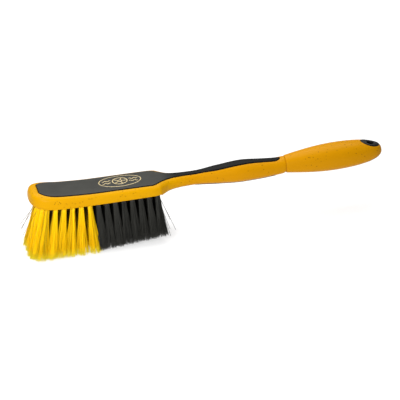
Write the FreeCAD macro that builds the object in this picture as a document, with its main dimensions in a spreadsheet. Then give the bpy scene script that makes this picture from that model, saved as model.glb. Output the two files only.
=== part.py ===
"""Long-handled wheel brush: a drilled head with a moulded neck, a rear grip and stapled bristle tufts.

Row frame, in millimetres: +X runs from the toe of the head to the end of the handle, +Z is up,
away from the bristle tips, and the brush is symmetric about the XZ plane. The origin is at the
bottom centre of the brush's bounding box, on the plane that the longest tips touch.
"""

import FreeCAD
import Part
import math
import os

from FreeCAD import Placement, Rotation, Vector

# ------------------------------------------------------------------ driving dimensions

DIMENSIONS = [
    # the whole brush: stations along the handle are counted from the toe
    ("overall_length", 462.4),
    ("seam_station", 335.4),
    ("bristle_drop", 62.5),
    ("toe_overhang", 9.6),
    # bow of the head: the toe curls up
    ("bow_start", 95),
    ("bow_rise", 3.6),
    # rounding of the toe
    ("toe_plan_radius", 26),
    ("toe_top_radius", 9),
    ("toe_lower_radius", 24),
    ("toe_tip_station", 0.25),
    # soft panels: they lie in shallow recesses and stand a little proud
    ("panel_depth", 1.6),
    ("panel_proud", 0.25),
    ("panel_start", 12.2),
    ("panel_toe_half", 9),
    ("panel_head_half", 23.8),
    ("panel_corner", 21),
    ("panel_end", 329.5),
    ("strip_start", 214),
    ("strip_end", 324),
    ("strip_half", 6.5),
    # tang of the head inside the rear grip
    ("tang_length", 62),
    ("tang_half_width", 7.5),
    ("tang_half_height", 6.5),
    ("tang_taper", 0.72),
    # rear grip
    ("grip_lip", 0.35),
    ("grip_widest", 401),
    ("grip_start_half", 10.85),
    ("grip_widest_half", 17.2),
    ("grip_width_ratio", 1.08),
    ("grip_start_centre", 5.4),
    ("grip_end_centre", 7.0),
    ("grip_length_power", 2.1),
    ("grip_end_power", 2.7),
    # hang eyelet
    ("eyelet_station", 448),
    ("eyelet_length", 24.4),
    ("eyelet_width", 18.6),
    ("eyelet_flange", 5),
    ("eyelet_tube_radius", 6.6),
    ("hang_hole_radius", 4.5),
    ("dish_half_length", 8.2),
    ("dish_half_width", 6),
    ("dish_depth", 1.6),
    # tufts: a pulled-in toe column, then columns at one pitch
    ("column_pitch", 11),
    ("first_column", 20.5),
    ("yellow_columns", 7),
    ("black_columns", 8),
    ("row_pitch", 12),
    ("toe_column", 12.5),
    ("corner_set_back", 3),
    ("corner_row", 19.5),
    ("corner_lean", -18),
    ("corner_splay", 7.5),
    ("hole_radius", 3.0),
    ("hole_depth", 9.5),
    ("root_clearance", 0.05),
    ("root_depth", 9),
    ("row_splay", 4.8),
    ("toe_tip_radius", 4.9),
    ("yellow_tip_radius", 5.4),
    ("black_tip_radius", 5.1),
    ("black_trim_first", 2.5),
    ("black_trim_last", 8.5),
    # anchor staples: one flat wire across the fold of each tuft
    ("staple_length", 5.4),
    ("staple_height", 1.6),
    ("staple_thickness", 0.45),
]

# Stations of the head and neck: distance from the toe, half width, height of the widest line,
# half heights above and below it, and squareness of the section (2 is an ellipse).
STATION_FIELDS = ("at", "half", "centre", "above", "below", "square")
BODY_STATIONS = [
    (12, 28.6, 7.0, 12.3, 9.0, 4.2),
    (26, 29.3, 6.0, 12.3, 10.0, 4.2),
    (45, 30.0, 5.0, 12.0, 10.0, 3.9),
    (80, 30.0, 5.0, 11.0, 10.0, 3.6),
    (120, 30.0, 5.0, 10.5, 10.0, 3.6),
    (158, 29.7, 5.0, 10.0, 10.0, 3.5),
    (167, 28.4, 5.0, 9.8, 9.9, 3.3),
    (174, 22.6, 5.0, 9.4, 9.7, 2.9),
    (181, 16.6, 5.0, 9.1, 9.3, 2.55),
    (190, 13.1, 5.1, 8.8, 8.9, 2.3),
    (200, 11.3, 5.1, 8.7, 8.7, 2.15),
    (216, 10.5, 5.1, 8.6, 8.6, 2.1),
    (246, 13.1, 5.2, 11.3, 11.3, 2.1),
    (278, 15.6, 5.2, 13.5, 13.5, 2.1),
    (306, 13.8, 4.3, 12.0, 12.0, 2.1),
    (322, 12.4, 4.0, 11.0, 10.9, 2.1),
    (330, 11.9, 4.6, 10.8, 10.9, 2.1),
    (335.4, 11.5, 5.3, 10.5, 9.9, 2.1),
]

# Half width of the top panel behind its rounded toe corners.
PANEL_STATIONS = [
    (36, 23.8),
    (60, 24.0),
    (100, 24.4),
    (156, 24.4),
    (163, 22.2),
    (171, 16.4),
    (179, 10.9),
    (190, 7.2),
    (208, 5.8),
    (224, 5.9),
    (246, 8.2),
    (272, 8.6),
    (300, 6.6),
    (320, 6.0),
]

# How far each column's tips are carried towards the handle from their holes.
COLUMN_LEANS = (
    -17.0, -14.5, -13.5, -12.2, -9.6, -5.6, 0.5,
    0.2, 0.4, 0.4, 0.5, 0.5, 0.6, 0.8, 1.0,
)

ARC_POINTS = 15
CREST_POINTS = 9

doc = FreeCAD.newDocument("wheel_brush")
sheet = doc.addObject("Spreadsheet::Sheet", "sizes")


def fill_sheet():
    """Writes each driving dimension beside its alias, then the station tables."""
    row = 1
    for alias, value in DIMENSIONS:
        sheet.set(f"A{row}", alias)
        sheet.set(f"B{row}", str(value))
        sheet.setAlias(f"B{row}", alias)
        row += 1
    for number, station in enumerate(BODY_STATIONS, 1):
        for field, value in zip(STATION_FIELDS, station):
            sheet.set(f"B{row}", str(value))
            sheet.setAlias(f"B{row}", f"body_{field}_{number}")
            row += 1
    for number, (at, half) in enumerate(PANEL_STATIONS, 1):
        sheet.set(f"B{row}", str(at))
        sheet.setAlias(f"B{row}", f"panel_at_{number}")
        sheet.set(f"C{row}", str(half))
        sheet.setAlias(f"C{row}", f"panel_half_{number}")
        row += 1
    for number, lean in enumerate(COLUMN_LEANS, 1):
        sheet.set(f"B{row}", str(lean))
        sheet.setAlias(f"B{row}", f"column_lean_{number}")
        row += 1
    doc.recompute()


def size(alias):
    return float(sheet.get(alias))


# ------------------------------------------------------------------ shape functions


def eased(stations, x):
    """Monotone cubic through (place, value) stations, level beyond the first and the last."""
    if x <= stations[0][0]:
        return stations[0][1]
    if x >= stations[-1][0]:
        return stations[-1][1]
    slopes = [
        (b[1] - a[1]) / (b[0] - a[0]) for a, b in zip(stations, stations[1:])
    ]
    tangents = [0.0]
    for before, after in zip(slopes, slopes[1:]):
        together = before * after
        tangents.append(2 * together / (before + after) if together > 0 else 0.0)
    tangents.append(slopes[-1])
    i = max(k for k in range(len(slopes)) if stations[k][0] <= x)
    (x0, y0), (x1, y1) = stations[i], stations[i + 1]
    step = x1 - x0
    s = (x - x0) / step
    return (
        (2 * s**3 - 3 * s**2 + 1) * y0
        + (s**3 - 2 * s**2 + s) * step * tangents[i]
        + (3 * s**2 - 2 * s**3) * y1
        + (s**3 - s**2) * step * tangents[i + 1]
    )


def quarter(x, radius, power):
    """Rises from 0 at x = 0 to 1 at x = radius, as a quarter of a superellipse."""
    if x >= radius:
        return 1.0
    return (1 - ((radius - x) / radius) ** power) ** (1 / power)


def bow(x):
    """Height by which the curled-up toe lifts the head."""
    before = max(0.0, size("bow_start") - x)
    return size("bow_rise") * (before / size("bow_start")) ** 2


def body_value(field, x):
    count = len(BODY_STATIONS)
    stations = [
        (size(f"body_at_{k}"), size(f"body_{field}_{k}")) for k in range(1, count + 1)
    ]
    return eased(stations, x)


def body_section(x):
    """Half width, centre height, half heights above and below, and squareness at x."""
    plan = quarter(x, size("toe_plan_radius"), 2.4)
    crown = quarter(x, size("toe_top_radius"), 2.2)
    chin = quarter(x, size("toe_lower_radius"), 2.0)
    return (
        body_value("half", x) * plan,
        body_value("centre", x) + bow(x),
        body_value("above", x) * crown,
        body_value("below", x) * chin,
        body_value("square", x),
    )


def grip_section(x):
    """The same five values on the rear grip."""
    start, widest, end = size("seam_station"), size("grip_widest"), size("overall_length")
    first, fullest = size("grip_start_half"), size("grip_widest_half")
    if x < widest:
        swell = math.sin((x - start) / (widest - start) * math.pi / 2)
        half = first + (fullest - first) * swell
    else:
        along = (x - widest) / (end - widest)
        closing = 1 - along ** size("grip_length_power")
        half = fullest * closing ** (1 / size("grip_end_power"))
    rise = (x - start) / (end - start)
    centre = size("grip_start_centre")
    centre += (size("grip_end_centre") - size("grip_start_centre")) * rise
    return half * size("grip_width_ratio"), centre, half, half, 2.1


def section_height(section, y):
    """Height of the section's upper line above its widest line, at distance y to the side."""
    half, _, above, _, square = section
    inside = max(0.0, 1 - abs(y / half) ** square)
    return above * inside ** (1 / square)


def panel_half(x):
    """Half width of the top panel: rounded toe corners, hourglass neck, rounded end."""
    count = len(PANEL_STATIONS)
    stations = [
        (size(f"panel_at_{k}"), size(f"panel_half_{k}")) for k in range(1, count + 1)
    ]
    into = x - size("panel_start")
    toe, full = size("panel_toe_half"), size("panel_head_half")
    corner = quarter(into, size("panel_corner"), 2.0)
    rounded = toe + (full - toe) * corner
    end = quarter(size("panel_end") - x, 9, 2.0)
    return min(rounded, eased(stations, x)) * max(end, 0.12)


def strip_half(x):
    """Half width of the strip under the neck: an even band with long rounded ends."""
    first = quarter(x - size("strip_start"), 16, 2.0)
    last = quarter(size("strip_end") - x, 9, 2.0)
    return size("strip_half") * max(min(first, last), 0.12)


# ------------------------------------------------------------------ placing and drawing


def station(x):
    """X in the row frame of a place counted from the toe."""
    return x - size("overall_length") / 2 + size("toe_overhang") / 2


def level(z):
    """Z in the row frame of a height counted from the head's underside."""
    return z + size("bristle_drop")


def point(x, y, z):
    return Vector(station(x), y, level(z))


def open_curve(points):
    """Smooth edge through the points, with the same knots for every edge of a family."""
    curve = Part.BSplineCurve()
    steps = [k / (len(points) - 1) for k in range(len(points))]
    curve.interpolate(Points=points, Parameters=steps)
    return curve.toShape()


def arc_edge(x, section, side):
    """Upper (1) or lower (-1) half of the superellipse across the brush at x."""
    half, centre, above, below, square = section
    tall = above if side > 0 else below
    points = []
    for k in range(ARC_POINTS):
        turn = math.pi * k / (ARC_POINTS - 1)
        c, s = math.cos(turn), math.sin(turn)
        reach = (abs(c) ** square + s**square) ** (-1 / square)
        points.append(point(x, -side * half * c * reach, centre + side * tall * s * reach))
    return open_curve(points)


def section_wire(x, section):
    return Part.Wire([arc_edge(x, section, 1), arc_edge(x, section, -1)])


def loft(places, section_at):
    wires = [section_wire(x, section_at(x)) for x in places]
    return Part.makeLoft(wires, True, False)


def crest_wire(x, half, section_at, low, high, side):
    """Closed crescent: a band of the surface from `low` to `high` outside it.

    `side` is 1 on the top of the brush and -1 underneath.
    """
    section = section_at(x)
    centre = section[1]

    def line(offset):
        row = []
        for k in range(CREST_POINTS):
            y = -half + 2 * half * k / (CREST_POINTS - 1)
            z = centre + side * (section_height(section, y) + offset)
            row.append(point(x, y, z))
        return row

    inner, outer = line(low), line(high)
    return Part.Wire(
        [
            open_curve(inner),
            Part.LineSegment(inner[-1], outer[-1]).toShape(),
            open_curve(outer[::-1]),
            Part.LineSegment(outer[0], inner[0]).toShape(),
        ]
    )


def band(places, half_at, section_at, low, high, side):
    wires = [
        crest_wire(x, half_at(x), section_at, low, high, side) for x in places
    ]
    return Part.makeLoft(wires, True, False)


def spaced(first, last, count):
    return [first + (last - first) * k / (count - 1) for k in range(count)]


def eased_in(first, last, count):
    """Places that crowd towards the first end, for rounded ends."""
    return [
        first + (last - first) * (1 - math.cos(math.pi / 2 * k / count))
        for k in range(count)
    ]


def feature(name, shape):
    """A document object that holds a lofted shape no primitive can give."""
    held = doc.addObject("Part::Feature", name)
    held.Label = name
    held.Shape = shape
    return held


def joined(name, kind, base, tool):
    made = doc.addObject(kind, name)
    made.Base = base
    made.Tool = tool
    return made


# ------------------------------------------------------------------ head, neck and panels


def body_places():
    """Where the head and neck are sectioned, from the toe to the seam."""
    toe = eased_in(size("toe_tip_station"), size("toe_plan_radius"), 9)
    head = spaced(size("toe_plan_radius"), 150, 7)
    heel = spaced(156, 204, 13)
    neck = spaced(211, size("seam_station"), 18)
    return toe + head + heel + neck


def make_underside_tool():
    """Everything under the head's bowed underside, ahead of the throat."""
    front, back = -5, 168
    below = point(0, 0, -30).z
    bowed = [point(x, -50, bow(x)) for x in spaced(front, 120, 8)]
    throat = point(back, -50, 0)
    outline = Part.Wire(
        [
            open_curve(bowed),
            Part.LineSegment(bowed[-1], throat).toShape(),
            Part.LineSegment(throat, Vector(throat.x + 14, -50, below)).toShape(),
            Part.LineSegment(
                Vector(throat.x + 14, -50, below), Vector(bowed[0].x, -50, below)
            ).toShape(),
            Part.LineSegment(Vector(bowed[0].x, -50, below), bowed[0]).toShape(),
        ]
    )
    return feature("underside_tool", Part.Face(outline).extrude(Vector(0, 100, 0)))


def make_tang():
    """Tapered spigot that the rear grip holds."""
    first = size("seam_station") - 6
    last = size("seam_station") + size("tang_length")

    def section_at(x):
        taper = 1 - (1 - size("tang_taper")) * (x - first) / (last - first)
        half = size("tang_half_width") * taper
        tall = size("tang_half_height") * taper
        return half, size("grip_start_centre"), tall, tall, 3.0

    return feature("tang", loft([first, (first + last) / 2, last], section_at))


def panel_places():
    start, end = size("panel_start"), size("panel_end")
    toe = eased_in(start, start + size("panel_corner"), 7)
    head = spaced(start + size("panel_corner"), 150, 5)
    heel = spaced(156, 204, 13)
    neck = spaced(212, end - 10, 12)
    last = [2 * end - x for x in eased_in(end, end + 9, 6)][::-1]
    return toe + head + heel + neck + last


def strip_places():
    start, end = size("strip_start"), size("strip_end")
    first = eased_in(start, start + 16, 5)
    middle = spaced(start + 16, end - 10, 8)
    last = [2 * end - x for x in eased_in(end, end + 9, 6)][::-1]
    return first + middle + last


def make_panels(body_places):
    """The top panel and the under strip, cut from a slightly grown copy of the body.

    Each panel and its recess come from the same tool, so their faces meet exactly.
    """
    depth, proud = -size("panel_depth"), size("panel_proud")

    def grown_at(x):
        half, centre, above, below, square = body_section(x)
        return half + proud, centre, above + proud, below + proud, square

    panel_tool = band(panel_places(), panel_half, body_section, depth, 5, 1)
    strip_tool = band(strip_places(), strip_half, body_section, depth, 5, -1)
    recesses = feature("panel_recess", panel_tool), feature("strip_recess", strip_tool)
    grown = feature("grown_body", loft(body_places, grown_at))
    panel = joined("top_soft_panel", "Part::Common", grown, recesses[0])
    strip = joined("neck_under_strip", "Part::Common", grown, recesses[1])
    return recesses, [panel, strip]


# ------------------------------------------------------------------ tufts


def tuft_columns():
    """(column number, colour) and the hole mouths of each column as (x, y, row)."""
    columns = []
    total = int(size("yellow_columns") + size("black_columns"))
    for number in range(1, total + 1):
        x = size("first_column") + (number - 2) * size("column_pitch")
        holes = []
        for row in range(-2, 3):
            y = row * size("row_pitch")
            if number == 1:
                corner = abs(row) == 2
                x = size("toe_column") + (size("corner_set_back") if corner else 0)
                y = math.copysign(size("corner_row"), row) if corner else y
            holes.append((x, y, row))
        columns.append((number, number <= size("yellow_columns"), holes))
    return columns


def tuft_direction(number, x, row):
    """Unit vector from a hole towards its tips: columns fan along X, rows splay along Y."""
    reach = size("bristle_drop") + bow(x)
    lean, splay = size(f"column_lean_{number}"), row * size("row_splay")
    if number == 1 and abs(row) == 2:
        lean, splay = size("corner_lean"), math.copysign(size("corner_splay"), row)
    return Vector(lean, splay, -reach).normalize()


def trim_level(number):
    """Height of the trimmed tips above the plane that the longest tips touch."""
    first = size("yellow_columns") + 1
    if number < first:
        return 0.0
    along = (number - first) / (size("black_columns") - 1)
    rise = size("black_trim_last") - size("black_trim_first")
    return size("black_trim_first") + rise * along


def along_axis(made, mouth, direction, back):
    """Places a primitive's +Z along `direction`, starting `back` behind the mouth."""
    turn = Rotation(Vector(0, 0, 1), direction)
    made.Placement = Placement(mouth - direction * back, turn)


def make_hole(name, mouth, direction):
    hole = doc.addObject("Part::Cylinder", name)
    hole.setExpression("Radius", "sizes.hole_radius")
    hole.setExpression("Height", "sizes.hole_depth + 6")
    along_axis(hole, mouth, direction, size("hole_depth"))
    return hole


def make_tuft(name, mouth, direction, tip_alias):
    """A root that fills the hole and a cone that flares to the trimmed tips."""
    root = doc.addObject("Part::Cylinder", name + "_root")
    root.setExpression("Radius", "sizes.hole_radius - sizes.root_clearance")
    root.setExpression("Height", "sizes.root_depth")
    along_axis(root, mouth, direction, size("root_depth"))
    flare = doc.addObject("Part::Cone", name + "_flare")
    flare.setExpression("Radius1", "sizes.hole_radius - sizes.root_clearance")
    flare.setExpression("Radius2", f"sizes.{tip_alias}")
    flare.setExpression("Height", "sizes.bristle_drop + 9")
    along_axis(flare, mouth, direction, 0)
    return joined(name, "Part::Fuse", root, flare)


def make_staple(name, mouth, direction):
    staple = doc.addObject("Part::Box", name)
    staple.setExpression("Length", "sizes.staple_thickness")
    staple.setExpression("Width", "sizes.staple_length")
    staple.setExpression("Height", "sizes.staple_height")
    turn = Rotation(Vector(0, 0, 1), direction)
    corner = Vector(-size("staple_thickness") / 2, -size("staple_length") / 2, 0)
    corner = turn.multVec(corner) - direction * size("root_depth")
    staple.Placement = Placement(mouth + corner, turn)
    return staple


def grouped(name, members):
    made = doc.addObject("Part::Compound", name)
    made.Links = members
    return made


def make_tufts():
    """One node of tufts and one of staples for each column; returns every hole."""
    holes, nodes = [], []
    for number, yellow, places in tuft_columns():
        colour = "yellow" if yellow else "black"
        tufts, staples = [], []
        for x, y, row in places:
            mouth = point(x, y, bow(x))
            direction = tuft_direction(number, x, row)
            tag = f"{number:02d}_{row + 3}"
            holes.append(make_hole(f"hole_{tag}", mouth, direction))
            alias = "toe_tip_radius" if number == 1 else f"{colour}_tip_radius"
            tufts.append(make_tuft(f"tuft_{tag}", mouth, direction, alias))
            staples.append(make_staple(f"staple_{tag}", mouth, direction))
        trim = doc.addObject("Part::Box", f"trim_{number:02d}")
        trim.Length = trim.Width = 200
        trim.Height = 60
        middle = station(places[2][0])
        trim.Placement.Base = Vector(middle - 100, -100, trim_level(number) - 60)
        staple_node = grouped(f"anchor_staples_{number:02d}", staples)
        long_tufts = grouped(f"long_tufts_{number:02d}", tufts)
        trimmed = joined(f"trimmed_{number:02d}", "Part::Cut", long_tufts, trim)
        node = joined(f"{colour}_tufts_{number:02d}", "Part::Cut", trimmed, staple_node)
        nodes += [node, staple_node]
    return grouped("tuft_holes", holes), nodes


# ------------------------------------------------------------------ rear grip and eyelet


def make_grip_loft(name, grow):
    """Outer shape of the rear grip, `grow` larger all round."""

    def section_at(x):
        half, centre, above, below, square = grip_section(x)
        return half + grow, centre, above + grow, below + grow, square

    start, widest, end = size("seam_station"), size("grip_widest"), size("overall_length")
    swell = spaced(start, widest, 12)
    closing = [
        widest + (end - 0.12 - widest) * math.sin(math.pi / 2 * k / 14)
        for k in range(1, 15)
    ]
    return feature(name, loft(swell + closing, section_at))


def oval_prism(name):
    prism = doc.addObject("Part::Ellipse", name + "_outline")
    prism.setExpression("MajorRadius", "sizes.eyelet_length / 2")
    prism.setExpression("MinorRadius", "sizes.eyelet_width / 2")
    prism.Placement.Base = point(size("eyelet_station"), 0, -40)
    solid = doc.addObject("Part::Extrusion", name)
    solid.Base = prism
    solid.Dir = Vector(0, 0, 1)
    solid.LengthFwd = 90
    solid.Solid = True
    return solid


def upright(name, radius_alias):
    tube = doc.addObject("Part::Cylinder", name)
    tube.setExpression("Radius", f"sizes.{radius_alias}")
    tube.Height = 90
    tube.Placement.Base = point(size("eyelet_station"), 0, -40)
    return tube


def make_dish(name, side):
    """Shallow oval lead-in around the hang hole, above (1) or below (-1)."""
    _, centre, above, _, _ = grip_section(size("eyelet_station"))
    dish = doc.addObject("Part::Ellipsoid", name)
    dish.setExpression("Radius1", "sizes.dish_depth")
    dish.setExpression("Radius2", "sizes.dish_half_length")
    dish.setExpression("Radius3", "sizes.dish_half_width")
    dish.Placement.Base = point(size("eyelet_station"), 0, centre + side * above)
    return dish


def make_grip(tang):
    """Rear grip with its tang socket and eyelet seats, and the eyelet that fills them."""
    outer = make_grip_loft("grip_loft", size("grip_lip"))
    proud = make_grip_loft("eyelet_loft", size("grip_lip") + size("panel_proud"))
    _, centre, above, below, _ = grip_section(size("eyelet_station"))
    between = doc.addObject("Part::Box", "between_flanges")
    between.Length = between.Width = 60
    between.Height = above + below - 2 * size("eyelet_flange")
    low = point(size("eyelet_station") - 30, -30, centre - below + size("eyelet_flange"))
    between.Placement.Base = low
    flanges = joined("flange_space", "Part::Cut", oval_prism("eyelet_oval"), between)
    space = joined("eyelet_space", "Part::Fuse", flanges, upright("tube", "eyelet_tube_radius"))
    solid = joined("eyelet_solid", "Part::Common", proud, space)
    opening = doc.addObject("Part::MultiFuse", "eyelet_opening")
    opening.Shapes = [
        upright("hang_hole", "hang_hole_radius"),
        make_dish("dish_above", 1),
        make_dish("dish_below", -1),
    ]
    eyelet = joined("hang_eyelet", "Part::Cut", solid, opening)
    socketed = joined("socketed_grip", "Part::Cut", outer, tang)
    grip = joined("rear_grip", "Part::Cut", socketed, space)
    return grip, eyelet


# ------------------------------------------------------------------ the whole brush


def build():
    fill_sheet()
    loft_feature = feature("body_loft", loft(body_places(), body_section))
    tang = make_tang()
    (panel_recess, strip_recess), panels = make_panels(body_places())
    tuft_holes, tuft_nodes = make_tufts()
    flat = joined("flat_body", "Part::Cut", loft_feature, make_underside_tool())
    shank = joined("body_with_tang", "Part::Fuse", flat, tang)
    recesses = doc.addObject("Part::Compound", "recesses")
    recesses.Links = [panel_recess, strip_recess]
    plain = joined("undrilled_body", "Part::Cut", shank, recesses)
    body = joined("head_and_neck", "Part::Cut", plain, tuft_holes)
    grip, eyelet = make_grip(tang)
    doc.recompute()
    return [body, grip, eyelet] + panels + tuft_nodes


def check(nodes):
    for made in doc.Objects:
        if "Invalid" in made.State or "Error" in made.State:
            raise RuntimeError(f"{made.Name} failed: {made.State}")
    for node in nodes:
        shape = node.Shape
        if shape.isNull() or not shape.isValid() or not shape.Solids:
            raise RuntimeError(f"{node.Name} has no valid solid")


def export(nodes):
    os.makedirs("parts", exist_ok=True)
    for old in os.listdir("parts"):
        os.remove(os.path.join("parts", old))
    for node in nodes:
        node.Shape.exportStep(f"parts/{node.Name}.step")


nodes = build()
check(nodes)
export(nodes)

whole = Part.makeCompound([node.Shape for node in nodes])
box = whole.BoundBox
print("box x", round(box.XMin, 2), round(box.XMax, 2))
print("box y", round(box.YMin, 2), round(box.YMax, 2))
print("box z", round(box.ZMin, 2), round(box.ZMax, 2))
for node in nodes:
    print(node.Name, len(node.Shape.Solids), "solids", round(node.Shape.Volume / 1000, 2), "cm3")
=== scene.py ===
# %% [markdown]
# # A long-handled wheel brush
# A plastic block with a neck, a soft grey panel pressed into its top, a rear grip pushed onto
# the neck, a black hang eyelet, and seventy-five tufts. The measured model comes in first and
# stays where it is. Each finished surface is a numpy formula, in millimetres from the toe.

# %% The frame and the tools
import math

import bpy
import numpy as np
from mathutils import Matrix, Vector


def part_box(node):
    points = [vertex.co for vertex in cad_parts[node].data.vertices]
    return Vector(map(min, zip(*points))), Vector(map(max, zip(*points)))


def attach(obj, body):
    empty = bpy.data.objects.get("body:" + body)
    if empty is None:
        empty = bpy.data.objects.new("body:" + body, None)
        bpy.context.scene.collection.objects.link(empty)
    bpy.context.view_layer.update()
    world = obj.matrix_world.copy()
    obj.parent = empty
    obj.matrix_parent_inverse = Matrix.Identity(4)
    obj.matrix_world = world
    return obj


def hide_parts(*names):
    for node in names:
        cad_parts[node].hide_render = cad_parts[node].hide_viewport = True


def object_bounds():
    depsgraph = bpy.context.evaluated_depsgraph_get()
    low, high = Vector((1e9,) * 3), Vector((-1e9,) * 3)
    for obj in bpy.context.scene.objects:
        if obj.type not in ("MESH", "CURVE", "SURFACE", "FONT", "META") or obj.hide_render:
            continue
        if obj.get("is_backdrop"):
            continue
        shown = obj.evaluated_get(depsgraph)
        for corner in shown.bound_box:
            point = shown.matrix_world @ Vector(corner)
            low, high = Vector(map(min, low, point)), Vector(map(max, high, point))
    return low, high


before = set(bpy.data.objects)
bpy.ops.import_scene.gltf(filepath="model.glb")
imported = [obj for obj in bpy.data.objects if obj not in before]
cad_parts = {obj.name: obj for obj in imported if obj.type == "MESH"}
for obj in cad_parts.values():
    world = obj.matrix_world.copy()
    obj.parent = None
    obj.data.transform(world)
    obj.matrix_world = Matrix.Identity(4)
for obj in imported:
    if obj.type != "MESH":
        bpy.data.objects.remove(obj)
cad_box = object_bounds()
print("the model's box:", [round(v * 1000, 1) for v in (*cad_box[0], *cad_box[1])], "mm")

# %% [markdown]
# ## Camera
# A product shot is taken from far away with a long lens, so that parallel edges stay parallel.
# Three angles place the camera: how far round, how high, and how much it is rolled.

# %% Camera
AZIMUTH, ELEVATION, ROLL = (math.radians(degrees) for degrees in (-8.3, 25.0, 5.0))
VIEW_WIDTH = 0.5148
CAMERA_DISTANCE = 6.0
LOOK_AT = Vector((-0.0054, 0.0, 0.0348))

level = Vector((math.cos(AZIMUTH), math.sin(AZIMUTH), 0))
outwards = Vector((math.sin(AZIMUTH), -math.cos(AZIMUTH), 0))
back = outwards * math.cos(ELEVATION) + Vector((0, 0, math.sin(ELEVATION)))
upward = back.cross(level)
right = level * math.cos(ROLL) - upward * math.sin(ROLL)
up = upward * math.cos(ROLL) + level * math.sin(ROLL)

lens = bpy.data.cameras.new("studio_camera")
lens.sensor_width = 36
lens.lens = lens.sensor_width * CAMERA_DISTANCE / VIEW_WIDTH
camera = bpy.data.objects.new("studio_camera", lens)
camera.matrix_world = Matrix.Translation(LOOK_AT + back * CAMERA_DISTANCE) @ Matrix(
    (right, up, back)
).transposed().to_4x4()
bpy.context.scene.collection.objects.link(camera)
bpy.context.scene.camera = camera
print("lens", round(lens.lens), "mm at", CAMERA_DISTANCE, "m")

# %% [markdown]
# ## From millimetres on the brush to metres in the frame
# Shapes are easier to write in the maker's terms: x from the toe, y across, and z up from the
# flat underside of the head. The whole length is counted back from the measured grip's end.

# %% Placing
BRISTLE_DROP = 62.5
LENGTH = 462.4
SEAM = 335.4

_, grip_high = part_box("rear_grip")
toe_place = grip_high.x * 1000 - LENGTH
ORIGIN = np.array([toe_place, 0, BRISTLE_DROP])
print("the toe is at x =", round(toe_place, 2), "mm")


def in_frame(points):
    """Brush millimetres to frame metres."""
    return (np.asarray(points, float) + ORIGIN) / 1000


# %% [markdown]
# ## Numbers that change smoothly along the brush
# A maker gives a few stations and lets a curve pass through them. A monotone cubic does this
# without bulging between two stations, so a straight run stays straight.


# %% Curves through stations
def eased(stations, x):
    """Monotone cubic through (place, value) rows: slopes at a station are the harmonic mean of
    the slopes on both sides, and zero where they disagree; level beyond both ends."""
    places, values = np.array(stations, float).T
    slopes = np.diff(values) / np.diff(places)
    before, after = slopes[:-1], slopes[1:]
    agree = before * after > 0
    total = np.where(agree, before + after, 1)
    inner = np.where(agree, 2 * before * after / total, 0)
    tangents = np.concatenate([[0], inner, [slopes[-1]]])
    x = np.clip(x, places[0], places[-1])
    i = np.clip(np.searchsorted(places, x, side="right") - 1, 0, len(slopes) - 1)
    step = places[i + 1] - places[i]
    s = (x - places[i]) / step
    return (
        (2 * s**3 - 3 * s**2 + 1) * values[i]
        + (s**3 - 2 * s**2 + s) * step * tangents[i]
        + (3 * s**2 - 2 * s**3) * values[i + 1]
        + (s**3 - s**2) * step * tangents[i + 1]
    )


def quarter(x, radius, power):
    """A quarter of a superellipse: (1 - ((radius - x) / radius) ** power) ** (1 / power)."""
    gone = np.clip((radius - np.asarray(x, float)) / radius, 0, 1)
    return (1 - gone**power) ** (1 / power)


print("half way along, a quarter circle has risen to", round(float(quarter(5, 10, 2)), 3))

# %% [markdown]
# ## The section of the head and neck
# Every cross-section is a superellipse: squarish at the head, nearly an ellipse at the neck, with
# its own heights above and below. Quarter curves round the toe, and a slow bow lifts it.

# %% Section of the head and neck
BODY = np.array([
    # place, half width, centre, above, below, squareness
    (12, 28.6, 7.0, 12.3, 9.0, 4.2),
    (26, 29.3, 6.0, 12.3, 10.0, 4.2),
    (45, 30.0, 5.0, 12.0, 10.0, 3.9),
    (80, 30.0, 5.0, 11.0, 10.0, 3.6),
    (120, 30.0, 5.0, 10.5, 10.0, 3.6),
    (158, 29.7, 5.0, 10.0, 10.0, 3.5),
    (167, 28.4, 5.0, 9.8, 9.9, 3.3),
    (174, 22.6, 5.0, 9.4, 9.7, 2.9),
    (181, 16.6, 5.0, 9.1, 9.3, 2.55),
    (190, 13.1, 5.1, 8.8, 8.9, 2.3),
    (200, 11.3, 5.1, 8.7, 8.7, 2.15),
    (216, 10.5, 5.1, 8.6, 8.6, 2.1),
    (246, 13.1, 5.2, 11.3, 11.3, 2.1),
    (278, 15.6, 5.2, 13.5, 13.5, 2.1),
    (306, 13.8, 4.3, 12.0, 12.0, 2.1),
    (322, 12.4, 4.0, 11.0, 10.9, 2.1),
    (330, 11.9, 4.6, 10.8, 10.9, 2.1),
    (335.4, 11.5, 5.3, 10.5, 9.9, 2.1),
])
BOW_START, BOW_RISE = 95, 3.6
HEEL, THROAT_SLOPE = 168, 2.4
# radius and squareness of the toe's rounding in plan, over the top and underneath
TOE_PLAN, TOE_CROWN, TOE_CHIN = (26, 2.4), (9, 2.2), (24, 2)


def bow(x):
    """The toe's lift: a parabola from the bow's start."""
    return BOW_RISE * (np.clip(BOW_START - x, 0, None) / BOW_START) ** 2


def body_section(x):
    """Half width, centre, height above, height below and squareness: the stations' curves, each
    multiplied by its quarter curve at the toe."""
    half, centre, above, below, square = (eased(BODY[:, [0, k]], x) for k in range(1, 6))
    half = half * quarter(x, *TOE_PLAN)
    above, below = above * quarter(x, *TOE_CROWN), below * quarter(x, *TOE_CHIN)
    return half, centre + bow(x), above, below, square


def underside(x):
    """Flat underside of the head, bowed with it, and a steep drop into the throat."""
    return np.where(x < HEEL, bow(x), -THROAT_SLOPE * (x - HEEL))


half_widths = body_section(np.array([100.0, 216.0, 278.0]))[0]
print("width of head, waist and neck:", (2 * half_widths).round(1), "mm")

# %% [markdown]
# ## The section of the rear grip
# A hand wants a grip that swells smoothly and closes into a blunt, full end: a quarter of a sine
# wave, then a superellipse. It is a little wider than tall, and its middle line rises slowly.

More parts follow.
